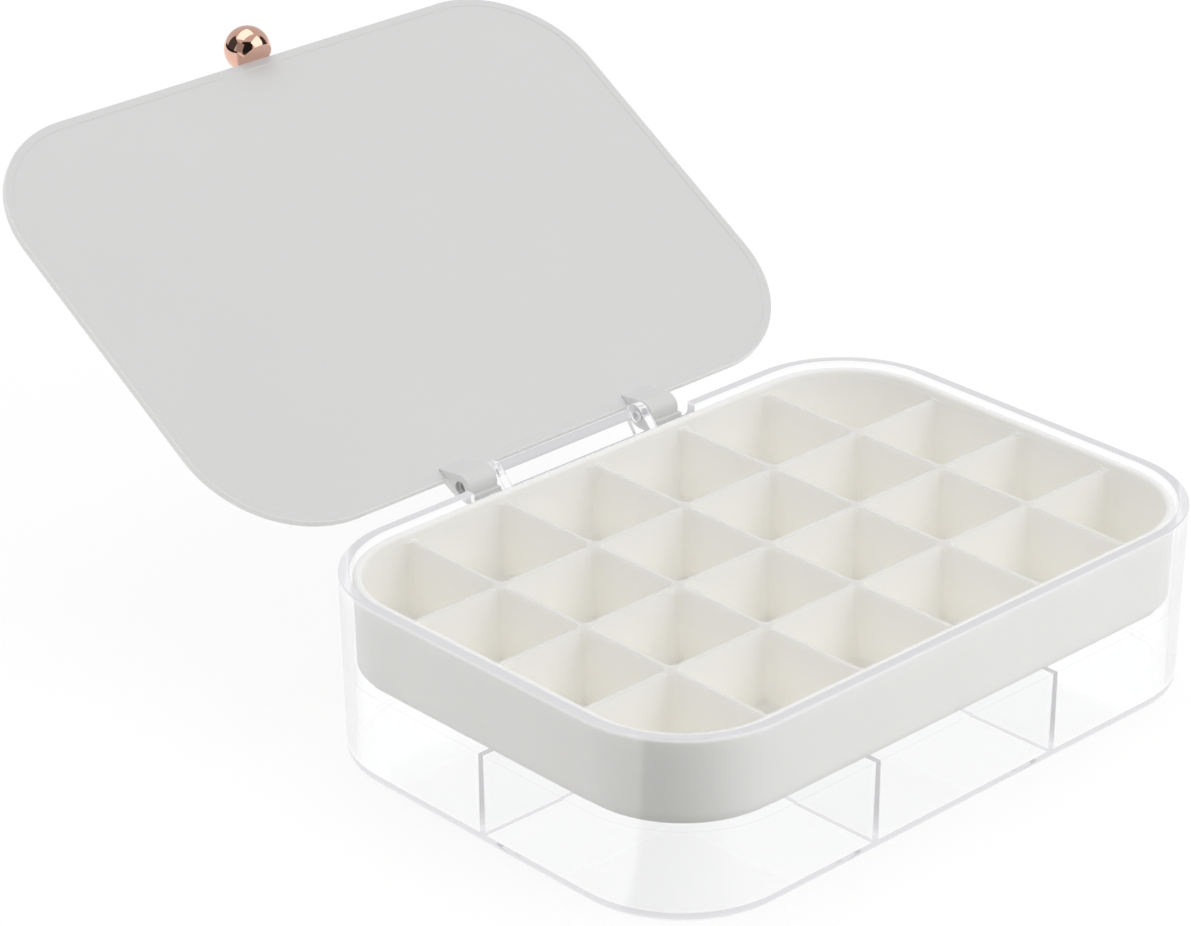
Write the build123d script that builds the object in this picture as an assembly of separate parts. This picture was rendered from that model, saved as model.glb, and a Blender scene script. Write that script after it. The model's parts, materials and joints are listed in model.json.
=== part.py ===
from build123d import *
import os
from math import radians, sqrt, tan

# Clear base box, in millimetres
box_length = 220.0
box_width = 153.5
box_height = 55.5
corner_radius = 35.0
wall = 3.0
floor_thickness = 2.8
box_draft = 1.0
bottom_edge_radius = 3.0
box_floor_radius = 1.5
rim_edge_radius = 0.4

# Dividers moulded into the clear base
lower_columns = 3
lower_divider = 1.8
lower_divider_draft = 0.5

# Lift-out tray
tray_gap = 0.8
tray_seat_gap = 0.1
tray_rim_drop = 1.4
tray_wall = 2.6
tray_floor = 2.0
tray_height = 26.8
tray_draft = 1.3
tray_bottom_radius = 4.5
tray_rim_radius = 1.1
tray_columns = 6
tray_rows = 4
column_margin = 0.6
row_margin = 6.75
divider = 1.4
divider_drop = 2.5
divider_draft = 0.5
cell_floor_radius = 1.5

# Lid: its ends are flush with the box's
lid_side_overhang = 0.35
lid_corner_easing = 1.5
lid_thickness = 2.6
lid_gap = 0.15
lid_edge_radius = 0.8
step_height = 0.8
step_clearance = 0.4
step_radius = 0.5
lid_open_angle = 148.5

# Hinge: its axis lies behind the rear wall and below the rim
hinge_setback = 5.6
hinge_drop = 2.0
knuckle_radius = 4.0
pin_radius = 1.5
pin_press_gap = 0.02
pin_running_gap = 0.05
pin_end_gap = 0.3
counterbore_step = 0.5
counterbore_depth = 1.5
arm_inner_face = 27.2
arm_width = 3.0
arm_root_low = 16.0
arm_bore_floor = 0.6
tab_side_gap = 0.3
tab_width = 10.7
tab_root = 4.0
bar_radius = 1.5
bar_inset = 0.1
notch_end_gap = 2.3
notch_under_axis = 2.0
notch_corner_radius = 1.5
stop_gap = 0.1
heel_height = 3.0

# Knob: a ball with a flat face against the lid's front edge
ball_radius = 7.2
ball_flat_offset = 4.2
ball_drop = 0.6
stud_radius = 0.8
stud_gap = 0.02
stud_in_lid = 9.0
stud_in_ball = 5.0
stud_end_gap = 0.2


def drafted_block(length, width, radius, top, bottom, draft):
    """Rounded block at full size at its top, drawn in by the draft towards its bottom."""
    profile = Pos(0, 0, top) * RectangleRounded(length, width, radius)
    return extrude(profile, amount=bottom - top, taper=draft)


def divider_plate(length, thickness, top, floor, draft, foot_radius):
    """Upright plate along X, wider towards the floor, with a rounded foot on each side."""
    half_top = thickness / 2
    half_foot = half_top + (top - floor) * tan(radians(draft))
    half_base = half_foot + 2 * foot_radius
    base = floor - foot_radius
    profile = Polygon(
        (-half_top, top),
        (-half_foot, floor),
        (-half_base, floor),
        (-half_base, base),
        (half_base, base),
        (half_base, floor),
        (half_foot, floor),
        (half_top, top),
        align=None,
    )
    foot_corners = [v for v in profile.vertices() if abs(abs(v.X) - half_foot) < 0.001]
    profile = fillet(foot_corners, foot_radius)
    return extrude(Plane.YZ * profile, amount=length / 2, both=True)


def divider_grid(column_lines, row_lines, plate):
    """Plates along X between the rows and plates along Y between the columns."""
    along_x = [Pos(0, y, 0) * plate for y in row_lines]
    along_y = [Pos(x, 0, 0) * Rot(0, 0, 90) * plate for x in column_lines]
    return along_x + along_y


def line_places(count, pitch):
    """Evenly spaced places about zero."""
    return [(i - (count - 1) / 2) * pitch for i in range(count)]


def floor_edges(solid, level):
    """Edges of a solid that lie at one level."""
    return solid.edges().filter_by_position(Axis.Z, level - 0.01, level + 0.01)


def x_slab(profile, start, end):
    """Profile drawn in Y and Z, as a solid from one X to another."""
    return Pos(start, 0, 0) * extrude(Plane.YZ * profile, amount=end - start)


def x_rod(radius, y, z, start, end):
    """Round rod along X."""
    return x_slab(Pos(y, z) * Circle(radius), start, end)


def both_sides(solid):
    """A solid and its mirror image in the middle plane."""
    return [solid, mirror(solid, about=Plane.YZ)]


# Levels and outlines that several pieces share
rear_face = box_width / 2
cavity_length = box_length - 2 * wall
cavity_width = box_width - 2 * wall
cavity_radius = corner_radius - wall
tray_length = cavity_length - 2 * tray_gap
tray_width = cavity_width - 2 * tray_gap
tray_radius = cavity_radius - tray_gap
tray_top = box_height - tray_rim_drop
tray_bottom = tray_top - tray_height
divider_top = tray_top - divider_drop
cell_floor = tray_bottom + tray_floor
lower_divider_top = tray_bottom - tray_seat_gap
lid_length = box_length
lid_width = box_width + 2 * lid_side_overhang
lid_radius = corner_radius + lid_corner_easing
lid_bottom = box_height + lid_gap
lid_top = lid_bottom + lid_thickness
lid_front = -lid_width / 2
lid_rear = lid_width / 2

# Divider lines: each lower column spans whole columns of the tray
column_pitch = (tray_length - 2 * column_margin) / tray_columns
row_pitch = (tray_width - 2 * row_margin) / tray_rows
lower_column_pitch = column_pitch * tray_columns / lower_columns
column_lines = line_places(tray_columns - 1, column_pitch)
row_lines = line_places(tray_rows - 1, row_pitch)
lower_column_lines = line_places(lower_columns - 1, lower_column_pitch)
lower_row_lines = [0]

# Hinge's axis and faces
hinge_y = rear_face + hinge_setback
hinge_z = box_height - hinge_drop
hinge_axis = Axis((0, hinge_y, hinge_z), (-1, 0, 0))
arm_outer_face = arm_inner_face + arm_width
arm_bore_bottom = arm_inner_face + arm_bore_floor
tab_inner_face = arm_outer_face + tab_side_gap
tab_outer_face = tab_inner_face + tab_width
counterbore_radius = pin_radius + counterbore_step
counterbore_bottom = tab_outer_face - counterbore_depth
bar_setback = knuckle_radius - bar_inset - bar_radius
notch_width = 2 * (tab_outer_face + notch_end_gap)
notch_depth = hinge_drop + notch_under_axis


def make_base_box():
    """Clear moulded box with its dividers, rear notch, hinge arms and cross bar."""
    shell = drafted_block(box_length, box_width, corner_radius, box_height, 0, box_draft)
    shell = fillet(floor_edges(shell, 0), bottom_edge_radius)
    cavity = drafted_block(
        cavity_length, cavity_width, cavity_radius, box_height, floor_thickness, box_draft
    )
    cavity = fillet(floor_edges(cavity, floor_thickness), box_floor_radius)
    plate = divider_plate(
        box_length, lower_divider, lower_divider_top, floor_thickness,
        lower_divider_draft, box_floor_radius,
    )
    for each in divider_grid(lower_column_lines, lower_row_lines, plate):
        cavity -= each
    box = shell - cavity
    box = fillet(floor_edges(box, box_height), rim_edge_radius)
    notch = Rectangle(notch_width, 2 * notch_depth)
    notch = fillet(notch.vertices(), notch_corner_radius)
    notch = Plane.XZ * Pos(0, box_height) * notch
    box -= Pos(0, rear_face + wall, 0) * extrude(notch, amount=3 * wall)
    box += both_sides(make_hinge_arm())
    box += x_rod(
        bar_radius, hinge_y + bar_setback, hinge_z, -arm_inner_face, arm_inner_face
    )
    return box


def make_hinge_arm():
    """One clear arm from the rear wall to its knuckle, with a blind bore for the pin."""
    root_y = rear_face - wall / 2
    knuckle = Pos(hinge_y, hinge_z) * Circle(knuckle_radius)
    root = Line(
        (root_y, hinge_z - arm_root_low),
        (root_y, box_height - notch_depth),
    )
    profile = make_hull(knuckle.edges() + root.edges())
    arm = x_slab(profile, arm_inner_face, arm_outer_face)
    return arm - x_rod(
        pin_radius + pin_running_gap, hinge_y, hinge_z, arm_bore_bottom, arm_outer_face
    )


def make_tray():
    """White tray with a raised rim round its grid of cells."""
    shell = drafted_block(
        tray_length, tray_width, tray_radius, tray_top, tray_bottom, tray_draft
    )
    shell = fillet(floor_edges(shell, tray_bottom), tray_bottom_radius)
    cells = drafted_block(
        tray_length - 2 * tray_wall, tray_width - 2 * tray_wall, tray_radius - tray_wall,
        tray_top, cell_floor, tray_draft,
    )
    cells = fillet(floor_edges(cells, cell_floor), cell_floor_radius)
    plate = divider_plate(
        tray_length, divider, divider_top, cell_floor, divider_draft, cell_floor_radius
    )
    for each in divider_grid(column_lines, row_lines, plate):
        cells -= each
    tray = shell - cells
    return fillet(floor_edges(tray, tray_top), tray_rim_radius)


def make_lid():
    """Opaque lid in its closed place, with its locating step and hinge tabs."""
    panel = extrude(
        Pos(0, 0, lid_bottom) * RectangleRounded(lid_length, lid_width, lid_radius),
        amount=lid_thickness,
    )
    panel = fillet(floor_edges(panel, lid_top), lid_edge_radius)
    step = extrude(
        Pos(0, 0, lid_bottom) * RectangleRounded(
            cavity_length - 2 * step_clearance,
            cavity_width - 2 * step_clearance,
            cavity_radius - step_clearance,
        ),
        amount=-step_height,
    )
    step = fillet(floor_edges(step, lid_bottom - step_height), step_radius)
    lid = panel + step + both_sides(make_lid_tab())
    stud_z = (lid_bottom + lid_top) / 2
    stud_hole = Pos(0, lid_front, stud_z) * Rot(-90, 0, 0) * Cylinder(
        stud_radius + stud_gap, stud_in_lid + stud_end_gap,
        align=(Align.CENTER, Align.CENTER, Align.MIN),
    )
    return lid - stud_hole


def make_lid_tab():
    """One hinge tab with its knuckle, bored for the pin, and the heel that stops the lid."""
    knuckle = Pos(hinge_y, hinge_z) * Circle(knuckle_radius)
    root = Line((lid_rear - tab_root, lid_bottom), (lid_rear - tab_root, lid_top))
    profile = make_hull(knuckle.edges() + root.edges())
    tab = x_slab(profile, tab_inner_face, tab_outer_face)
    heel_depth = hinge_setback - stop_gap
    heel = Pos(hinge_y - heel_depth / 2, hinge_z - knuckle_radius + heel_height / 2)
    heel = x_slab(heel * Rectangle(heel_depth, heel_height), tab_inner_face, tab_outer_face)
    tab += heel.rotate(hinge_axis, -lid_open_angle)
    tab -= x_rod(
        pin_radius + pin_press_gap, hinge_y, hinge_z, tab_inner_face, tab_outer_face
    )
    return tab - x_rod(
        counterbore_radius, hinge_y, hinge_z, counterbore_bottom, tab_outer_face
    )


def make_hinge_pin():
    """Plain steel pin from the tab's counterbore into the arm's blind bore."""
    return x_rod(
        pin_radius, hinge_y, hinge_z, arm_bore_bottom + pin_end_gap, counterbore_bottom
    )


def make_knob_ball():
    """Ball cut flat where it seats on the lid's front edge, with a blind bore for its stud."""
    centre_y = lid_front - ball_flat_offset
    ball = Pos(0, centre_y, lid_bottom - ball_drop) * Sphere(ball_radius)
    ball = split(ball, bisect_by=Plane.XZ.offset(-lid_front), keep=Keep.TOP)
    bore = Pos(0, lid_front, (lid_bottom + lid_top) / 2) * Rot(90, 0, 0) * Cylinder(
        stud_radius + stud_gap, stud_in_ball + stud_end_gap,
        align=(Align.CENTER, Align.CENTER, Align.MIN),
    )
    return ball - bore


def make_knob_stud():
    """Steel stud that joins the ball to the lid's front edge."""
    stud = Pos(0, lid_front - stud_in_ball, (lid_bottom + lid_top) / 2)
    return stud * Rot(-90, 0, 0) * Cylinder(
        stud_radius, stud_in_ball + stud_in_lid,
        align=(Align.CENTER, Align.CENTER, Align.MIN),
    )


def opened(solid):
    """A lid piece turned from its closed place to the open rest pose."""
    return solid.rotate(hinge_axis, lid_open_angle)


left_pin, right_pin = [opened(pin) for pin in both_sides(make_hinge_pin())][::-1]
parts = {
    "base_box": make_base_box(),
    "compartment_tray": make_tray(),
    "lid": opened(make_lid()),
    "knob_ball": opened(make_knob_ball()),
    "knob_stud": opened(make_knob_stud()),
    "hinge_pin_left": left_pin,
    "hinge_pin_right": right_pin,
}

os.makedirs("parts", exist_ok=True)
for name, solid in parts.items():
    export_step(solid, f"parts/{name}.step")

flat_radius = sqrt(ball_radius**2 - ball_flat_offset**2)
print(f"hinge axis at y {hinge_y:.2f}, z {hinge_z:.2f}")
print(f"tray rim {lid_bottom - step_height - tray_top:.2f} under the closed lid's step")
print(f"ball's flat face {2 * flat_radius:.1f} across")
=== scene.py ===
import json
from itertools import pairwise
from math import cos, pi, radians, sin, tan

import bmesh
import bpy
from mathutils import Matrix, Vector


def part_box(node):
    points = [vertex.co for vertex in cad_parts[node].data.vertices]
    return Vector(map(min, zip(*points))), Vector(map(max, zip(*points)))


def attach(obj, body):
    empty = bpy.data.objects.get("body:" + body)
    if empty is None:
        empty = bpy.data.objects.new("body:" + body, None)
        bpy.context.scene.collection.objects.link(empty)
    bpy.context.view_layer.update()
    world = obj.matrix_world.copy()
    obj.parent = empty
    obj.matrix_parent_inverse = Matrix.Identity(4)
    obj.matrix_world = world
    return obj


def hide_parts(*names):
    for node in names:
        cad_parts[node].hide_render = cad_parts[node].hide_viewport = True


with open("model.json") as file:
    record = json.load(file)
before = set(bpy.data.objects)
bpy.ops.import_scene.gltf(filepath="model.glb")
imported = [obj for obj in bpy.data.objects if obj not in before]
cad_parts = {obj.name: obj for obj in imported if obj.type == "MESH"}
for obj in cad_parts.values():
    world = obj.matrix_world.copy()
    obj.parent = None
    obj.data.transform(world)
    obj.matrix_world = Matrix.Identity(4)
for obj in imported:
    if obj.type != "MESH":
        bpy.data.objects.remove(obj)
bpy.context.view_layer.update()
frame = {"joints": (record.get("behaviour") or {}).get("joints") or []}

mm = 0.001
black = (0, 0, 0, 1)
white = (1, 1, 1, 1)

# Clear box
box_length = 220.0 * mm
box_width = 153.5 * mm
box_height = 55.5 * mm
corner_radius = 35.0 * mm
wall = 3.0 * mm
box_floor = 2.8 * mm
box_draft = radians(1.0)
underside_radius = 3.0 * mm
rim_radius = 0.4 * mm
lower_divider = 1.8 * mm
lower_divider_top = 27.2 * mm
divider_draft = radians(0.5)
lower_column_lines = [-35.2 * mm, 35.2 * mm]
lower_row_lines = [0.0]

# Radii of the pockets' mouths, feet and upright corners
box_pocket_radii = (0.05 * mm, 0.25 * mm, 0.0)
tray_pocket_radii = (0.08 * mm, 1.5 * mm, 2.2 * mm)
web_edge = 0.02 * mm

# Tray
tray_gap = 0.8 * mm
tray_wall = 2.6 * mm
tray_floor = 2.0 * mm
tray_draft = radians(1.3)
tray_underside_radius = 4.5 * mm
tray_rim_radius = 1.1 * mm
tray_divider = 1.4 * mm
divider_drop = 2.5 * mm
column_pitch = 35.2 * mm
row_pitch = 33.1 * mm
column_lines = [i * column_pitch for i in range(-2, 3)]
row_lines = [i * row_pitch for i in range(-1, 2)]

# Lid, in its closed place
lid_width = 154.2 * mm
lid_corner_radius = 36.5 * mm
lid_bottom = 55.65 * mm
lid_thickness = 2.6 * mm
lid_top_radius = 0.8 * mm
lid_lower_radius = 0.2 * mm
recess_inset = 2.5 * mm
recess_slope = 0.4 * mm
recess_depth = 0.25 * mm

# Hinge
hinge = next(joint for joint in frame["joints"] if joint["name"] == "lid_hinge")
hinge_place = Vector(hinge["pos_m"])
hinge_direction = Vector(hinge["axis"])
open_angle = radians(-hinge["range_deg"][0])
knuckle_radius = 4.0 * mm
arm_faces = (27.2 * mm, 30.2 * mm)
arm_root_low = 16.0 * mm
arm_root_high = 2.0 * mm
arm_bore_radius = 1.55 * mm
arm_bore_depth = 2.4 * mm
bar_radius = 1.5 * mm
bar_setback = 2.4 * mm
tab_faces = (30.5 * mm, 41.2 * mm)
tab_root = 4.0 * mm
tab_bore_radius = 1.52 * mm
counterbore_radius = 2.0 * mm
counterbore_depth = 1.5 * mm
heel_depth = 5.5 * mm
heel_height = 3.0 * mm
notch_half_width = 43.5 * mm
notch_depth = 4.0 * mm
notch_corner_radius = 1.5 * mm
edge_ease = 0.25 * mm

# Knob
ball_radius = 7.2 * mm
ball_flat_offset = 4.2 * mm
ball_drop = 0.6 * mm
ball_edge_radius = 0.15 * mm
stud_radius = 0.8 * mm
stud_in_lid = 9.0 * mm
stud_in_ball = 5.0 * mm
stud_hole_radius = 0.82 * mm
stud_end_gap = 0.2 * mm
stud_ease = stud_radius / 5

# Photograph's camera, its angles in degrees from +Y towards +X and below the horizon
camera_place = (-757.642 * mm, -732.8 * mm, 583.594 * mm)
camera_heading = 43.3365
camera_pitch = 25.715
camera_roll = -0.2023
camera_lens = 128.915

# Surroundings: levels across the room that lights the part, then those in mirrors and through clear plastic
room_side = -130
room_levels = [(0.0, 0.88), (1.0, 0.47)]
room_tint = (0.995, 0.992, 0.987, 1)
mirror_level = 0.66
through_levels = [(0.55, 1.0), (0.85, 0.7)]

# Floor: levels for the camera and through clear plastic, and a sector of painted shade at the near corner,
# dark only in mirrors and through clear plastic
floor_half_side = 6.0
floor_drop = 0.1 * mm
floor_level = 0.84
floor_level_through = 1.08
near_corner = (-75 * mm, -41.75 * mm, 0)
sector_start = 36 * mm
sector_turn = 122.75
sector_levels = [(0.38, 0.0), (0.392, 0.9), (0.445, 0.86), (0.53, 0.42), (0.575, 0.04), (0.61, 0.0)]

# Lamps and cards, with their azimuth and elevation in degrees, distance, size and level
lamps = [
    ("right_lamp", (160, 42), 1.3, (1.2, 1.0), 4.25),
    ("top_lamp", (-5, 72), 1.3, (1.2, 0.8), 2.0),
]
cards = [
    ("right_card", (147, 45), 1.3, (1.3, 1.05), 1.8),
    ("top_card", (-5, 70), 1.3, (1.3, 0.85), 1.8),
    ("camera_flag", (-136, 32), 1.6, (1.6, 1.85), 0.02),
    ("right_flag", (110, 26), 1.45, (1.0, 0.9), 0.05),
    ("left_flag", (-44, 20), 1.4, (1.1, 1.3), 0.07),
    ("side_flag", (-92, 28), 1.5, (0.9, 1.1), 0.36),
    ("rear_flag", (-45, 0), 1.3, (2.1, 0.42), 0.03),
]

# Painted glow of the clear plastic, in place of the light it reflects and refracts: its shares on reflected
# rays and at the rim, the foot and the hinge bar
caught_glow_share = 0.35
rim_glow_share = 0.45
foot_glow_share = 0.5
bar_glow_share = 0.75

# Between which heights (z) and distances from the middle (x, y) the painted glow fades in at each part
rim_glow_z = (53.9 * mm, 54.9 * mm)
rim_glow_y = (77.4 * mm, 76.8 * mm)
foot_glow_lower_z = (0.3 * mm, 0.45 * mm)
foot_glow_upper_z = (1.9 * mm, 1.65 * mm)
bar_glow_x = (27.3 * mm, 27.0 * mm)
bar_glow_y = (82.5 * mm, 82.6 * mm)

# Brightness of the painted glow by share of the box's height, and how much darker it is in the bar, as
# painted shade
painted_glow_levels = [(0.0, 1.0), (0.03, 1.0), (0.07, 0.64), (0.85, 0.68), (0.96, 0.9)]
bar_glow_dimming = 0.24
painted_glow_tint = (0.985, 0.975, 1.0, 1)

# Tray's painted light and shade: its painted glow by share of the box's height, and where its cells and its
# dividers' crests end.
# The crests get a darker painted shade. Reaches are distances outwards from the middle of its rounded
# corners.
tray_painted_glow = (0.042, 0.0395, 0.031, 1)
tray_painted_glow_levels = [(0.52, 0.0), (0.53, 1.0), (0.7, 0.8), (0.94, 0.0)]
tray_cells_reach = (29.0 * mm, 28.7 * mm)
tray_crest_painted_shade = (0.75, 0.743, 0.725, 1)
crest_shade_reach = (28.0 * mm, 27.5 * mm)
crest_shade_top = (-0.12 * mm, -0.06 * mm)
crest_shade_fade = (0.4 * mm, 0.04 * mm)

# Lid's painted light: its painted glow, where its lighter painted edge begins, and where its tabs and the
# left ends of those do
lid_painted_glow = (0.11, 0.11, 0.11, 1)
lid_painted_edge_reach = (36.2 * mm, 36.4 * mm)
tab_depth = (0.08 * mm, 0.2 * mm)
tab_end_glow_facing = (-0.6, -0.94)


def outline(bm, length, width, radius, level, segments=24):
    """Level face with rounded corners."""
    corners = bmesh.ops.create_grid(bm, x_segments=1, y_segments=1, size=0.5)["verts"]
    bmesh.ops.scale(bm, vec=(length, width, 1), verts=corners)
    bmesh.ops.translate(bm, vec=(0, 0, level), verts=corners)
    rounded = bmesh.ops.bevel(
        bm, geom=corners, offset=radius, offset_type="OFFSET", affect="VERTICES",
        segments=segments, profile=0.5, material=-1, clamp_overlap=False,
    )
    return rounded["verts"][0].link_faces[0]


def loft(bm, outlines):
    """Skin through level outlines, closed by the first and the last one's faces. Gives the last face."""
    faces = [outline(bm, *each) for each in outlines]
    rings = [list(face.edges) for face in faces]
    bmesh.ops.delete(bm, geom=faces[1:-1], context="FACES_ONLY")
    for ring, following in pairwise(rings):
        bmesh.ops.bridge_loops(bm, edges=ring + following)
    bmesh.ops.recalc_face_normals(bm, faces=bm.faces)
    return faces[-1]


def is_level(item, level, tolerance=0.001 * mm):
    """Whether a face or an edge lies at one level."""
    return all(abs(vertex.co.z - level) < tolerance for vertex in item.verts)


def sharp_edges(edges, sharpest=60):
    """Those edges where the skin turns outwards by more than an angle in degrees."""
    return [edge for edge in edges if edge.is_convex and edge.calc_face_angle(0) > radians(sharpest)]


def round_edges(bm, edges, radius, segments):
    bmesh.ops.bevel(
        bm, geom=edges, offset=radius, offset_type="OFFSET", affect="EDGES",
        segments=segments, profile=0.5, material=-1, clamp_overlap=True,
    )


def round_level(bm, level, radius, segments):
    """Rounds the outer edges at one level."""
    round_edges(bm, sharp_edges([edge for edge in bm.edges if is_level(edge, level)]), radius, segments)


def pocket_profile(depth, mouth, foot):
    """Insets and depths of a pocket's rounded mouth, drafted wall and rounded foot, from the top down."""
    quarter = [radians(turn) for turn in (0, 22.5, 45, 67.5, 90)]
    wall_inset = mouth + (depth - mouth - foot) * tan(divider_draft)
    top = [(mouth * sin(turn), mouth * (1 - cos(turn))) for turn in quarter]
    low = [(wall_inset + foot * (1 - cos(turn)), depth - foot * (1 - sin(turn))) for turn in quarter]
    return top + low


def sink_pockets(bm, level_face, inner, columns, rows, thickness, depth, radii):
    """Puts a level web in place of a wall's foot face and sinks rounded pockets between its divider lines.

    The radii are those of the pockets' mouths, feet and upright corners.
    """
    mouth, foot, upright = radii
    foot_edges = list(level_face.edges)
    bmesh.ops.delete(bm, geom=[level_face], context="FACES_ONLY")
    length, width, radius, level = inner
    whole = outline(bm, length - 2 * web_edge, width - 2 * web_edge, radius - web_edge, level)
    plate = {whole}
    for axis, lines in ((Vector((1, 0, 0)), columns), (Vector((0, 1, 0)), rows)):
        for place in [line + side * (thickness / 2 - mouth) for line in lines for side in (-1, 1)]:
            parts = plate | {part for face in plate for part in [*face.edges, *face.verts]}
            cut = bmesh.ops.bisect_plane(
                bm, geom=list(parts), dist=0.0001 * mm, plane_co=axis * place, plane_no=axis
            )["geom"]
            plate = {part for part in cut if isinstance(part, bmesh.types.BMFace)}
    strips = []
    for face in plate:
        middle = face.calc_center_median()
        across = [abs(middle.x - line) for line in columns] + [abs(middle.y - line) for line in rows]
        if min(across) < thickness / 2:
            strips.append(face)
    pockets = list(plate - set(strips))
    bmesh.ops.delete(bm, geom=strips, context="FACES")
    if upright:
        least_turn = radians(40)
        corners = [
            vertex for face in pockets for vertex in face.verts if vertex.calc_edge_angle(0) > least_turn
        ]
        bmesh.ops.bevel(
            bm, geom=corners, offset=upright, offset_type="OFFSET", affect="VERTICES",
            segments=8, profile=0.5, material=-1, clamp_overlap=False,
        )
        most_in_square = 20
        at_top = [face for face in bm.faces if is_level(face, level)]
        pockets = [face for face in at_top if len(face.verts) > most_in_square]
    rims = list({edge for face in pockets for edge in face.edges})
    bmesh.ops.triangle_fill(bm, use_beauty=True, edges=foot_edges + rims)
    for (inset, sunk), (next_inset, next_sunk) in pairwise(pocket_profile(depth, mouth, foot)):
        step = next_inset - inset
        bmesh.ops.inset_individual(bm, faces=pockets, thickness=step, use_even_offset=True)
        floor = list({vertex for face in pockets for vertex in face.verts})
        bmesh.ops.translate(bm, vec=(0, 0, sunk - next_sunk), verts=floor)
    bmesh.ops.recalc_face_normals(bm, faces=bm.faces)


def finish_mesh(bm, name, material, body, node):
    """Makes a piece of the object from a mesh in progress."""
    mesh = bpy.data.meshes.new(name)
    bm.to_mesh(mesh)
    bm.free()
    return finish_piece(mesh, name, material, body, node)


def finish_piece(mesh, name, material, body, node, sharp=35):
    """Shades a piece, gives it its finish and puts it on its body."""
    mesh.name = name
    mesh.shade_smooth()
    mesh.set_sharp_from_angle(angle=radians(sharp))
    mesh.materials.clear()
    mesh.materials.append(material)
    piece = bpy.data.objects.new(name, mesh)
    bpy.context.scene.collection.objects.link(piece)
    normals = piece.modifiers.new("face_normals", "WEIGHTED_NORMAL")
    normals.keep_sharp = True
    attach(piece, body)
    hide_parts(node)
    return piece


def helper(bm):
    """Loose object that a cut or a join uses."""
    mesh = bpy.data.meshes.new("helper")
    bmesh.ops.recalc_face_normals(bm, faces=bm.faces)
    bm.to_mesh(mesh)
    bm.free()
    made = bpy.data.objects.new("helper", mesh)
    bpy.context.scene.collection.objects.link(made)
    return made


def combine(bm, *steps):
    """Joins and cuts a mesh in progress with others, step by step, and gives the new mesh."""
    main = helper(bm)
    loose = [main]
    for operation, tool in steps:
        other = helper(tool)
        change = main.modifiers.new("change", "BOOLEAN")
        change.operation = operation
        change.solver = "EXACT"
        change.object = other
        loose.append(other)
    shape = main.evaluated_get(bpy.context.evaluated_depsgraph_get())
    mesh = bpy.data.meshes.new_from_object(shape)
    for each in loose:
        data = each.data
        bpy.data.objects.remove(each)
        bpy.data.meshes.remove(data)
    return mesh


def rod(radius, start, end, y, z, ease=0.0, segments=40):
    """Round rod along X, with eased ends."""
    bm = bmesh.new()
    bmesh.ops.create_cone(
        bm, cap_ends=True, segments=segments, radius1=radius, radius2=radius, depth=end - start,
        matrix=Matrix.Translation(((start + end) / 2, y, z)) @ Matrix.Rotation(pi / 2, 4, "Y"),
    )
    if ease:
        round_edges(bm, sharp_edges(bm.edges), ease, segments=2)
    return bm


def hull_plate(start, end, root):
    """Plate along X that runs from its round knuckle to two root points, with eased edges."""
    bm = bmesh.new()
    for x in (start, end):
        circle = Matrix.Translation((x, hinge_place.y, hinge_place.z)) @ Matrix.Rotation(pi / 2, 4, "Y")
        bmesh.ops.create_circle(bm, segments=48, radius=knuckle_radius, matrix=circle)
        for y, z in root:
            bmesh.ops.create_vert(bm, co=(x, y, z))
    hull = bmesh.ops.convex_hull(bm, input=bm.verts)
    unused = hull["geom_interior"] + hull["geom_unused"]
    inside = {item for item in unused if isinstance(item, bmesh.types.BMVert)}
    bmesh.ops.delete(bm, geom=list(inside), context="VERTS")
    bmesh.ops.dissolve_limit(bm, angle_limit=radians(1), verts=bm.verts, edges=bm.edges)
    bmesh.ops.recalc_face_normals(bm, faces=bm.faces)
    round_edges(bm, sharp_edges(bm.edges), edge_ease, segments=2)
    return bm


def block(low, high, eased=0.0):
    """Rectangular block from one corner to the other, with its edges along Y eased."""
    bm = bmesh.new()
    bmesh.ops.create_cube(bm, size=1)
    bmesh.ops.scale(bm, vec=Vector(high) - Vector(low), verts=bm.verts)
    bmesh.ops.translate(bm, vec=(Vector(high) + Vector(low)) / 2, verts=bm.verts)
    if eased:
        along = [edge for edge in bm.edges if abs((edge.verts[0].co - edge.verts[1].co).y) > eased]
        round_edges(bm, along, eased, segments=5)
    return bm


def mirrored(faces):
    """A pair of X places and their mirror image."""
    return faces, (-faces[1], -faces[0])


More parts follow.
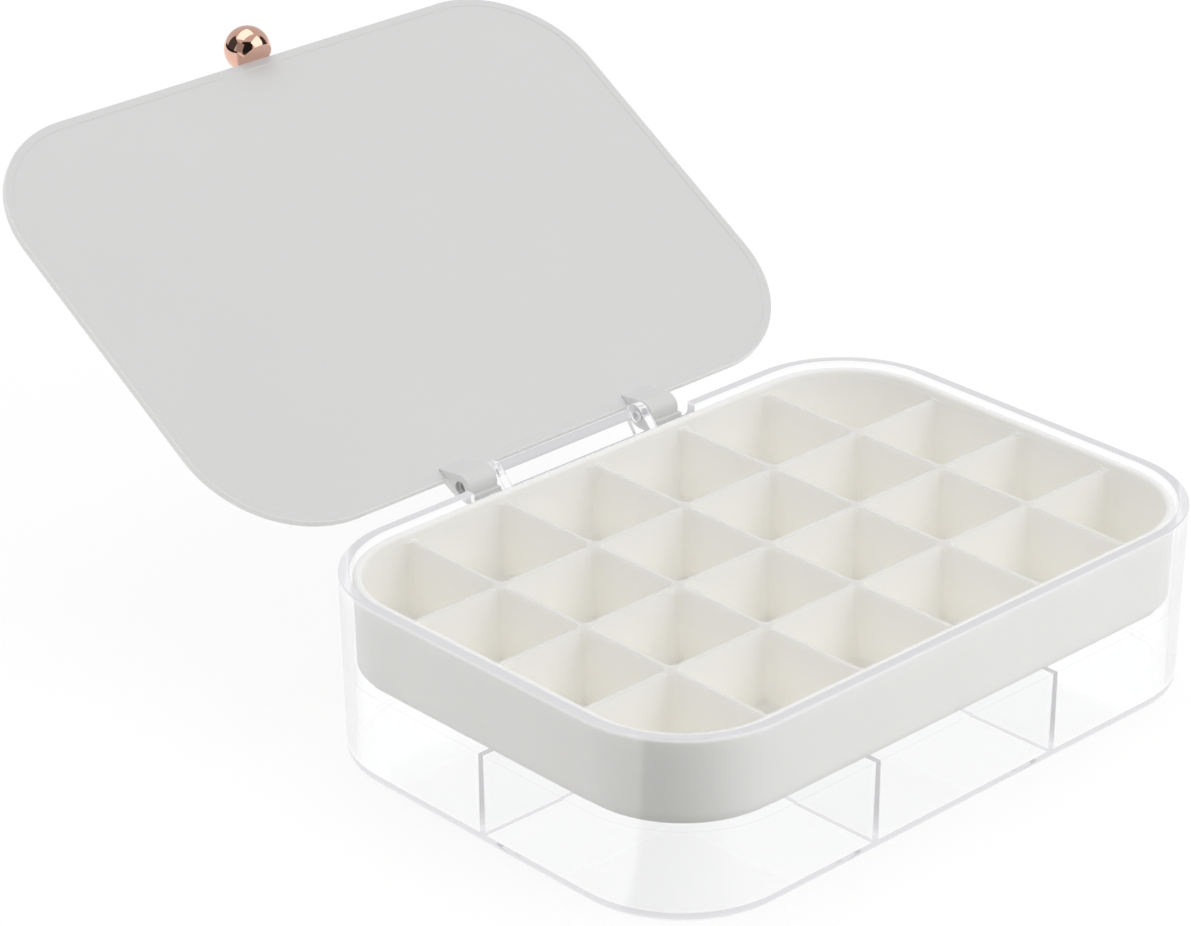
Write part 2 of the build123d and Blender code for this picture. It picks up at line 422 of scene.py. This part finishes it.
def make_base_box(material):
    """Clear moulded box with its dividers, rear notch, hinge arms and cross bar."""
    drawn = box_height * tan(box_draft)
    sunk = wall + (box_height - lower_divider_top) * tan(box_draft)
    inner = (box_length - 2 * sunk, box_width - 2 * sunk, corner_radius - sunk, lower_divider_top)
    bm = bmesh.new()
    foot = loft(bm, [
        (box_length - 2 * drawn, box_width - 2 * drawn, corner_radius - drawn, 0),
        (box_length, box_width, corner_radius, box_height),
        (box_length - 2 * wall, box_width - 2 * wall, corner_radius - wall, box_height),
        inner,
    ])
    depth = lower_divider_top - box_floor
    lines = (lower_column_lines, lower_row_lines)
    sink_pockets(bm, foot, inner, *lines, lower_divider, depth, box_pocket_radii)
    round_level(bm, 0, underside_radius, segments=6)
    round_level(bm, box_height, rim_radius, segments=3)
    notch = block(
        (-notch_half_width, box_width / 2 - 2 * wall, box_height - notch_depth),
        (notch_half_width, box_width / 2 + wall, box_height + wall), notch_corner_radius,
    )
    steps = [("DIFFERENCE", notch)]
    root_y = box_width / 2 - wall / 2
    root = [(root_y, hinge_place.z - arm_root_low), (root_y, hinge_place.z - arm_root_high)]
    for start, end in mirrored(arm_faces):
        steps.append(("UNION", hull_plate(start, end, root)))
    bar_y = hinge_place.y + bar_setback
    reach = arm_faces[0] + edge_ease
    steps.append(("UNION", rod(bar_radius, -reach, reach, bar_y, hinge_place.z)))
    for bore in mirrored((arm_faces[1] - arm_bore_depth, arm_faces[1] + edge_ease)):
        steps.append(("DIFFERENCE", rod(arm_bore_radius, *bore, hinge_place.y, hinge_place.z)))
    mesh = combine(bm, *steps)
    return finish_piece(mesh, "clear_box", material, "box", "base_box", sharp=20)


def make_tray(material):
    """White tray with a raised rim round its grid of cells."""
    low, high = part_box("compartment_tray")
    length, width = high.x - low.x, high.y - low.y
    radius = corner_radius - wall - tray_gap
    drawn = (high.z - low.z) * tan(tray_draft)
    sunk = tray_wall + divider_drop * tan(tray_draft)
    crest = high.z - divider_drop
    inner = (length - 2 * sunk, width - 2 * sunk, radius - sunk, crest)
    bm = bmesh.new()
    foot = loft(bm, [
        (length - 2 * drawn, width - 2 * drawn, radius - drawn, low.z),
        (length, width, radius, high.z),
        (length - 2 * tray_wall, width - 2 * tray_wall, radius - tray_wall, high.z),
        inner,
    ])
    depth = crest - low.z - tray_floor
    sink_pockets(bm, foot, inner, column_lines, row_lines, tray_divider, depth, tray_pocket_radii)
    round_level(bm, low.z, tray_underside_radius, segments=8)
    round_level(bm, high.z, tray_rim_radius, segments=5)
    return finish_mesh(bm, "cell_tray", material, "tray", "compartment_tray")


def opened(mesh):
    """Turns a lid mesh from its closed place to the open rest pose."""
    turn = Matrix.Rotation(open_angle, 4, hinge_direction)
    mesh.transform(Matrix.Translation(hinge_place) @ turn @ Matrix.Translation(-hinge_place))
    return mesh


def turned_heel(start, end):
    """Heel that meets the rear wall when the lid is open, in the closed lid's place."""
    low = hinge_place.z - knuckle_radius
    bm = block((start, hinge_place.y - heel_depth, low), (end, hinge_place.y, low + heel_height))
    turn = Matrix.Rotation(-open_angle, 3, hinge_direction)
    bmesh.ops.rotate(bm, cent=hinge_place, matrix=turn, verts=bm.verts)
    return bm


def stud_shape(radius, extra):
    """Stud along Y through the lid's front edge, longer at both ends by an extra length."""
    length = stud_in_ball + stud_in_lid + 2 * extra
    middle = (0, (stud_in_lid - stud_in_ball) / 2 - lid_width / 2, lid_bottom + lid_thickness / 2)
    bm = bmesh.new()
    bmesh.ops.create_cone(
        bm, cap_ends=True, segments=32, radius1=radius, radius2=radius, depth=length,
        matrix=Matrix.Translation(middle) @ Matrix.Rotation(pi / 2, 4, "X"),
    )
    return bm


def make_lid(material):
    """Opaque lid with a shallow recess inside its rim, hinge tabs and heels."""
    lid_top = lid_bottom + lid_thickness
    panel = (box_length, lid_width, lid_corner_radius)
    bm = bmesh.new()
    loft(bm, [(*panel, lid_bottom), (*panel, lid_top)])
    round_level(bm, lid_bottom, lid_lower_radius, segments=2)
    round_level(bm, lid_top, lid_top_radius, segments=5)
    steps_in = [step / 4 for step in range(5)]
    profile = [(run, (1 - cos(pi * run)) / 2) for run in steps_in]
    slope = [(recess_inset + recess_slope * run, lid_bottom + recess_depth * rise) for run, rise in profile]
    recess = bmesh.new()
    loft(recess, [
        (box_length - 2 * inset, lid_width - 2 * inset, lid_corner_radius - inset, level)
        for inset, level in [(recess_inset, lid_bottom - recess_depth), *slope]
    ])
    root_y = lid_width / 2 - tab_root
    root = [(root_y, lid_bottom), (root_y, lid_top)]
    steps = [("DIFFERENCE", recess), ("DIFFERENCE", stud_shape(stud_hole_radius, stud_end_gap))]
    for start, end in mirrored(tab_faces):
        steps.append(("UNION", hull_plate(start, end, root)))
        steps.append(("UNION", turned_heel(start, end)))
    for start, end in mirrored((tab_faces[0] - edge_ease, tab_faces[1] + edge_ease)):
        steps.append(("DIFFERENCE", rod(tab_bore_radius, start, end, hinge_place.y, hinge_place.z)))
    for start, end in mirrored((tab_faces[1] - counterbore_depth, tab_faces[1] + edge_ease)):
        steps.append(("DIFFERENCE", rod(counterbore_radius, start, end, hinge_place.y, hinge_place.z)))
    mesh = opened(combine(bm, *steps))
    return finish_piece(mesh, "lid_panel", material, "lid", "lid")


def make_ball(material):
    """Ball cut flat against the lid's front edge, with a blind bore for its stud."""
    flat_y = -lid_width / 2
    centre = Vector((0, flat_y - ball_flat_offset, lid_bottom - ball_drop))
    bm = bmesh.new()
    bmesh.ops.create_uvsphere(
        bm, u_segments=72, v_segments=48, radius=ball_radius,
        matrix=Matrix.Translation(centre) @ Matrix.Rotation(pi / 2, 4, "X"),
    )
    cut = bmesh.ops.bisect_plane(
        bm, geom=bm.verts[:] + bm.edges[:] + bm.faces[:], dist=0.0001 * mm,
        plane_co=(0, flat_y, 0), plane_no=(0, 1, 0), clear_outer=True,
    )["geom_cut"]
    ring = [item for item in cut if isinstance(item, bmesh.types.BMEdge)]
    flat = bmesh.ops.contextual_create(bm, geom=ring)["faces"][0]
    bmesh.ops.recalc_face_normals(bm, faces=bm.faces)
    round_edges(bm, list(flat.edges), ball_edge_radius, segments=3)
    mesh = combine(bm, ("DIFFERENCE", stud_shape(stud_hole_radius, stud_end_gap)))
    return finish_piece(opened(mesh), "ball_knob", material, "lid", "knob_ball", sharp=50)


def make_stud(material):
    """Steel stud that joins the ball to the lid."""
    bm = stud_shape(stud_radius, 0)
    round_edges(bm, sharp_edges(bm.edges), stud_ease, segments=2)
    return finish_piece(opened(combine(bm)), "ball_stud", material, "lid", "knob_stud")


def make_pins(material):
    """Steel pins of the hinge, with eased ends."""
    for node, name in (("hinge_pin_left", "left_pin"), ("hinge_pin_right", "right_pin")):
        low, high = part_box(node)
        middle = (low + high) / 2
        bm = rod((high.y - low.y) / 2, low.x, high.x, middle.y, middle.z, ease=edge_ease, segments=36)
        finish_mesh(bm, name, material, "lid", node)


class Value:
    """A shader socket whose arithmetic adds the Math nodes it needs."""

    def __init__(self, finish, socket):
        self.finish = finish
        self.socket = socket

    def _maths(self, operation, first, second):
        return self.finish.node("ShaderNodeMath", {"operation": operation}, {0: first, 1: second})

    def __add__(self, other):
        return self._maths("ADD", self, other)

    def __sub__(self, other):
        return self._maths("SUBTRACT", self, other)

    def __rsub__(self, other):
        return self._maths("SUBTRACT", other, self)

    def __mul__(self, other):
        return self._maths("MULTIPLY", self, other)

    def at_most(self, other):
        return self._maths("MINIMUM", self, other)

    __radd__ = __add__
    __rmul__ = __mul__


class Finish:
    """A node tree that is written node by node."""

    def __init__(self, owner):
        owner.use_nodes = True
        self.tree = owner.node_tree
        self.tree.nodes.clear()

    def node(self, kind, settings=None, inputs=None, output=0):
        """Adds a node with its settings, then its socket values and links, and gives one of its outputs."""
        node = self.tree.nodes.new(kind)
        for name, setting in (settings or {}).items():
            if name == "stops":
                self._set_ramp(node.color_ramp, setting)
            else:
                setattr(node, name, setting)
        for name, given in (inputs or {}).items():
            if isinstance(given, Value):
                self.tree.links.new(given.socket, node.inputs[name])
            else:
                node.inputs[name].default_value = given
        return Value(self, node.outputs[output])

    @staticmethod
    def _set_ramp(ramp, stops):
        ramp.elements.remove(ramp.elements[1])
        ramp.elements[0].position, ramp.elements[0].color = stops[0]
        for place, colour in stops[1:]:
            ramp.elements.new(place).color = colour

    def place(self):
        """The piece's own coordinates."""
        return self.node("ShaderNodeTexCoord", output="Object")

    def noise(self, scale, detail=2.0, roughness=0.5, stretch=(1, 1, 1)):
        """Cloudy pattern on the piece's own coordinates, a scale of one being a metre."""
        spread = self.node("ShaderNodeMapping", inputs={"Vector": self.place(), "Scale": stretch})
        inputs = {"Vector": spread, "Scale": scale, "Detail": detail, "Roughness": roughness}
        return self.node("ShaderNodeTexNoise", inputs=inputs)

    def ramp(self, value, stops):
        """Grey levels at places along a value, as (place, level) pairs."""
        coloured = [(place, (level, level, level, 1)) for place, level in stops]
        return self.node("ShaderNodeValToRGB", {"stops": coloured}, {"Fac": value})

    def blend(self, share, first, second):
        """Colour between two colours."""
        return self.node("ShaderNodeMix", {"data_type": "RGBA"}, {0: share, 6: first, 7: second}, output=2)

    def rise(self, value, start, end):
        """Goes evenly from zero to one while a value goes from a start to an end, which may be lower."""
        inputs = {"Value": value, "From Min": start, "From Max": end}
        return self.node("ShaderNodeMapRange", inputs=inputs)

    def vector(self, operation, *given, output="Vector"):
        """Vector arithmetic."""
        inputs = dict(enumerate(given))
        return self.node("ShaderNodeVectorMath", {"operation": operation}, inputs, output=output)

    def outward(self, place, core):
        """Level distance outwards from a rectangle round the middle, given by half its two sides."""
        away = self.vector("SUBTRACT", self.vector("ABSOLUTE", place), (*core, 1.0))
        return self.vector("LENGTH", self.vector("MAXIMUM", away, (0, 0, 0)), output="Value")

    def parts(self, place):
        return [self.node("ShaderNodeSeparateXYZ", inputs={"Vector": place}, output=axis) for axis in "XYZ"]

    def height(self, place):
        return self.parts(place)[2]

    def bump(self, height, depth, strength):
        """Normal of a surface whose height goes over a depth in metres."""
        inputs = {"Height": height, "Distance": depth, "Strength": strength}
        return self.node("ShaderNodeBump", inputs=inputs)

    def glow(self, colour, level=1.0):
        """Shader that gives off light."""
        return self.node("ShaderNodeEmission", inputs={"Color": colour, "Strength": level})

    def mix(self, share, first, second):
        """Shader between two shaders."""
        return self.node("ShaderNodeMixShader", inputs={0: share, 1: first, 2: second})

    def rays(self, *kinds):
        """One for rays of the named kinds, and otherwise zero."""
        share = 0
        for kind in kinds:
            share = self.node("ShaderNodeLightPath", output=kind) + share
        return share.at_most(1.0)

    def show(self, shader, kind="Material"):
        end = self.tree.nodes.new(f"ShaderNodeOutput{kind}")
        self.tree.links.new(shader.socket, end.inputs["Surface"])


def new_finish(name):
    material = bpy.data.materials.new(name)
    return material, Finish(material)


def clear_styrene():
    """Clear moulded plastic with faint flow marks and handling scratches.

    Lamp rays pass straight through. Rays caught in the walls show a painted glow in place of what they
    reflect.
    The rim, the foot and the hinge bar have a painted glow too, in place of the light the plastic refracts
    there.
    """
    material, finish = new_finish("clear_styrene")
    flow = finish.noise(scale=14, detail=3, stretch=(1, 1, 3))
    scratch = finish.ramp(finish.noise(scale=420, detail=2, stretch=(1, 6, 1)), [(0.66, 0), (0.72, 1)])
    surface = finish.node(
        "ShaderNodeBsdfPrincipled",
        inputs={
            "Base Color": (0.985, 0.988, 0.988, 1),
            "Roughness": 0.01 + 0.03 * scratch,
            "IOR": 1.57,
            "Transmission Weight": 1.0,
            "Normal": finish.bump(flow, depth=0.04 * mm, strength=0.4),
        },
    )
    place = finish.place()
    height = finish.height(place)
    across, along, _ = finish.parts(finish.vector("ABSOLUTE", place))
    # Painted light: a glow, brighter low and high on the box and dimmed in the bar, stands in for refracted
    # and reflected light
    bar = finish.rise(along, *bar_glow_y) * finish.rise(across, *bar_glow_x)
    rim = finish.rise(height, *rim_glow_z) * finish.rise(along, *rim_glow_y)
    foot = finish.rise(height, *foot_glow_lower_z) * finish.rise(height, *foot_glow_upper_z)
    caught = finish.rays("Is Reflection Ray")
    share = caught_glow_share * caught + bar_glow_share * bar + rim_glow_share * rim + foot_glow_share * foot
    level = finish.ramp(height * (1 / box_height), painted_glow_levels) - bar_glow_dimming * bar
    painted_glow_shader = finish.mix(level, finish.glow(black), finish.glow(painted_glow_tint))
    surface = finish.mix(share.at_most(1.0), surface, painted_glow_shader)
    clear = finish.node("ShaderNodeBsdfTransparent", inputs={"Color": (0.955, 0.957, 0.957, 1)})
    finish.show(finish.mix(finish.rays("Is Shadow Ray", "Is Diffuse Ray"), surface, clear))
    return material


def tray_plastic():
    """Warm white moulded plastic with a fine satin texture. Its cells have a painted glow and its crests
    painted shade.
    """
    material, finish = new_finish("tray_plastic")
    clouds = finish.noise(scale=22, detail=3)
    grain = finish.noise(scale=3800, detail=2)
    place = finish.place()
    core = (box_length / 2 - corner_radius, box_width / 2 - corner_radius)
    distance = finish.outward(place, core)
    height = finish.height(place)
    # Painted light: the cells glow, most just above their floors
    cells = finish.rise(distance, *tray_cells_reach)
    glow = cells * finish.ramp(height * (1 / box_height), tray_painted_glow_levels)
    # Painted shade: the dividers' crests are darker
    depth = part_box("compartment_tray")[1].z - divider_drop - height
    crest = finish.rise(depth, *crest_shade_top) * finish.rise(depth, *crest_shade_fade)
    crest = crest * finish.rise(distance, *crest_shade_reach)
    body = finish.blend(clouds, (0.955, 0.94, 0.895, 1), (0.96, 0.947, 0.91, 1))
    surface = finish.node(
        "ShaderNodeBsdfPrincipled",
        inputs={
            "Base Color": finish.blend(crest, body, tray_crest_painted_shade),
            "Roughness": 0.42 + 0.12 * clouds,
            "IOR": 1.49,
            "Subsurface Weight": 1.0,
            "Subsurface Radius": (1.0, 0.97, 0.9),
            "Subsurface Scale": 3 * mm,
            "Emission Color": finish.blend(glow, black, tray_painted_glow),
            "Emission Strength": 1.0,
            "Normal": finish.bump(grain + 0.6 * clouds, depth=0.02 * mm, strength=0.5),
        },
    )
    finish.show(surface)
    return material


def lid_plastic():
    """Neutral white moulded plastic. Its edges are painted lighter and glow, and the left ends of its tabs
    glow, as painted light.
    """
    material, finish = new_finish("lid_plastic")
    clouds = finish.noise(scale=16, detail=4)
    grain = finish.noise(scale=3200, detail=2)
    back = Matrix.Rotation(-open_angle, 3, hinge_direction)
    closed = {
        "Vector": finish.place(),
        "Location": hinge_place - back @ hinge_place,
        "Rotation": back.to_euler(),
    }
    place = finish.node("ShaderNodeMapping", inputs=closed)
    core = (box_length / 2 - lid_corner_radius, lid_width / 2 - lid_corner_radius)
    # Painted light: the side faces get a lighter colour and a glow, and the tabs' left-facing ends a glow
    side = finish.rise(finish.outward(place, core), *lid_painted_edge_reach)
    tab = finish.rise(lid_bottom - finish.height(place), *tab_depth)
    facing = finish.parts(finish.node("ShaderNodeNewGeometry", output="Normal"))[0]
    edge = side * (1 - tab)
    glow = edge + tab * finish.rise(facing, *tab_end_glow_facing)
    face = finish.blend(clouds, (0.726, 0.725, 0.725, 1), (0.74, 0.74, 0.74, 1))
    surface = finish.node(
        "ShaderNodeBsdfPrincipled",
        inputs={
            "Base Color": finish.blend(edge, face, (0.84, 0.84, 0.835, 1)),
            "Roughness": 0.4 + 0.1 * clouds,
            "IOR": 1.49,
            "Emission Color": finish.blend(glow, black, lid_painted_glow),
            "Emission Strength": 1.0,
            "Normal": finish.bump(grain + 0.5 * clouds, depth=0.015 * mm, strength=0.5),
        },
    )
    finish.show(surface)
    return material


def rose_gold():
    """Lacquered mirror metal with faint wiping marks."""
    material, finish = new_finish("rose_gold")
    wipe = finish.noise(scale=900, detail=3, stretch=(1, 4, 1))
    clouds = finish.noise(scale=260, detail=2)
    surface = finish.node(
        "ShaderNodeBsdfPrincipled",
        inputs={
            "Base Color": finish.blend(clouds, (0.79, 0.455, 0.35, 1), (0.845, 0.505, 0.39, 1)),
            "Metallic": 1.0,
            "Roughness": 0.03 + 0.05 * wipe,
            "Coat Weight": 0.8,
            "Coat Roughness": 0.02,
            "Normal": finish.bump(wipe, depth=0.004 * mm, strength=0.4),
        },
    )
    finish.show(surface)
    return material


def pin_steel():
    """Drawn steel wire with fine lines along the pin."""
    material, finish = new_finish("drawn_steel")
    lines = finish.noise(scale=2400, detail=2, stretch=(0.04, 1, 1))
    surface = finish.node(
        "ShaderNodeBsdfPrincipled",
        inputs={
            "Base Color": finish.blend(lines, (0.42, 0.42, 0.43, 1), (0.60, 0.60, 0.61, 1)),
            "Metallic": 1.0,
            "Roughness": 0.22 + 0.2 * lines,
            "Normal": finish.bump(lines, depth=0.01 * mm, strength=0.5),
        },
    )
    finish.show(surface)
    return material


def pale_floor():
    """Pale floor that reads as white and keeps the object's shadow."""
    material, finish = new_finish("pale_floor")
    plain = finish.node("ShaderNodeBsdfDiffuse", inputs={"Color": (0.93, 0.93, 0.93, 1)})
    shaded = finish.node("ShaderNodeBsdfDiffuse", inputs={"Color": (0.2, 0.2, 0.2, 1)})
    seen = finish.node("ShaderNodeAddShader", inputs={0: shaded, 1: finish.glow(white, floor_level)})
    shader = finish.mix(finish.rays("Is Camera Ray", "Is Glossy Ray"), plain, seen)
    shader = finish.mix(finish.rays("Is Transmission Ray"), shader, finish.glow(white, floor_level_through))
    # Painted shade: a dark sector that shows only in mirrors and through clear plastic, darkening the box's
    # near corner
    turn = Matrix.Rotation(radians(sector_turn), 3, "Z")
    about = {
        "Vector": finish.place(),
        "Location": -(turn @ Vector(near_corner)),
        "Rotation": turn.to_euler(),
    }
    place = finish.node("ShaderNodeMapping", inputs=about)
    angle = finish.node("ShaderNodeTexGradient", {"gradient_type": "RADIAL"}, {"Vector": place}, "Fac")
    outside = finish.rise(finish.outward(place, (0, 0)), sector_start, sector_start + mm)
    mirrored_or_through = finish.rays("Is Reflection Ray", "Is Transmission Ray")
    share = finish.ramp(angle, sector_levels) * outside * mirrored_or_through
    finish.show(finish.mix(share, shader, finish.glow(black)))
    return material


def glowing(name, strength):
    """Plain glow of a studio card."""
    material, finish = new_finish(name)
    finish.show(finish.glow(white, strength))
    return material


def heading(azimuth, elevation):
    """Direction from the object, in degrees from +Y towards +X and above the horizon."""
    flat = cos(radians(elevation))
    return Vector((sin(radians(azimuth)) * flat, cos(radians(azimuth)) * flat, sin(radians(elevation))))


def look_down(place):
    """Turn that makes a card or a lamp face the object from a place."""
    return (-Vector(place)).to_track_quat("-Z", "Y").to_matrix().to_4x4()


def make_card(name, direction, distance, size, strength):
    """Studio card that only shows in reflections."""
    place = heading(*direction) * distance
    bm = bmesh.new()
    bmesh.ops.create_grid(bm, x_segments=1, y_segments=1, size=0.5)
    bmesh.ops.scale(bm, vec=(size[0], size[1], 1), verts=bm.verts)
    bm.transform(Matrix.Translation(place) @ look_down(place))
    mesh = bpy.data.meshes.new(name)
    bm.to_mesh(mesh)
    bm.free()
    mesh.materials.append(glowing(name, strength))
    card = bpy.data.objects.new(name, mesh)
    bpy.context.scene.collection.objects.link(card)
    card.visible_camera = False
    card.visible_diffuse = False
    card.visible_transmission = False
    card.visible_shadow = False


def make_lamp(name, direction, distance, size, power):
    """Soft lamp that mirrors don't show, because the cards stand in for it there."""
    place = heading(*direction) * distance
    data = bpy.data.lights.new(name, "AREA")
    data.shape = "RECTANGLE"
    data.size, data.size_y = size
    data.energy = power
    lamp = bpy.data.objects.new(name, data)
    lamp.matrix_world = Matrix.Translation(place) @ look_down(place)
    lamp.visible_glossy = False
    lamp.visible_transmission = False
    bpy.context.scene.collection.objects.link(lamp)


def make_studio():
    """Floor, lamps, cards and surroundings."""
    bm = bmesh.new()
    bmesh.ops.create_grid(bm, x_segments=1, y_segments=1, size=floor_half_side)
    bmesh.ops.translate(bm, vec=(0, 0, -floor_drop), verts=bm.verts)
    mesh = bpy.data.meshes.new("floor")
    bm.to_mesh(mesh)
    bm.free()
    mesh.materials.append(pale_floor())
    floor = bpy.data.objects.new("floor", mesh)
    bpy.context.scene.collection.objects.link(floor)
    for lamp in lamps:
        make_lamp(*lamp)
    for card in cards:
        make_card(*card)
    make_surroundings()


def make_surroundings():
    """White background for the camera and clear plastic, and a plain pale studio for the rest."""
    world = bpy.data.worlds.new("studio")
    bpy.context.scene.world = world
    finish = Finish(world)
    towards = finish.node("ShaderNodeTexCoord", output="Generated")
    front = heading(camera_heading - 180, camera_pitch)
    through = finish.ramp(finish.vector("DOT_PRODUCT", towards, front, output="Value"), through_levels)
    side = finish.vector("DOT_PRODUCT", towards, heading(room_side, 0), output="Value")
    room = finish.ramp(0.5 * side + 0.5, room_levels)
    multiply = {"data_type": "RGBA", "blend_type": "MULTIPLY"}
    tinted_room = finish.node("ShaderNodeMix", multiply, {0: 1.0, 6: room, 7: room_tint}, output=2)
    shader = finish.node("ShaderNodeBackground", inputs={"Color": tinted_room, "Strength": 1.0})
    for ray, colour, level in (
        ("Is Glossy Ray", white, mirror_level),
        ("Is Transmission Ray", through, 1.0),
        ("Is Camera Ray", white, 1.0),
    ):
        seen = finish.node("ShaderNodeBackground", inputs={"Color": colour, "Strength": level})
        shader = finish.mix(finish.rays(ray), shader, seen)
    finish.show(shader, "World")


def make_camera():
    """Camera at the photograph's place and angle."""
    data = bpy.data.cameras.new("camera")
    data.sensor_width = 36
    data.lens = camera_lens
    data.clip_start = 0.05
    data.clip_end = 50
    camera = bpy.data.objects.new("camera", data)
    yaw = Matrix.Rotation(radians(-camera_heading), 4, "Z")
    pitch = Matrix.Rotation(radians(90 - camera_pitch), 4, "X")
    roll = Matrix.Rotation(radians(camera_roll), 4, "Z")
    camera.matrix_world = Matrix.Translation(camera_place) @ yaw @ pitch @ roll
    bpy.context.scene.collection.objects.link(camera)
    bpy.context.scene.camera = camera


make_camera()
make_studio()
steel = pin_steel()
make_base_box(clear_styrene())
make_tray(tray_plastic())
make_lid(lid_plastic())
make_ball(rose_gold())
make_stud(steel)
make_pins(steel)

scene = bpy.context.scene
scene.view_settings.view_transform = "Standard"
scene.cycles.max_bounces = 24
scene.cycles.transmission_bounces = 24
scene.cycles.transparent_max_bounces = 24
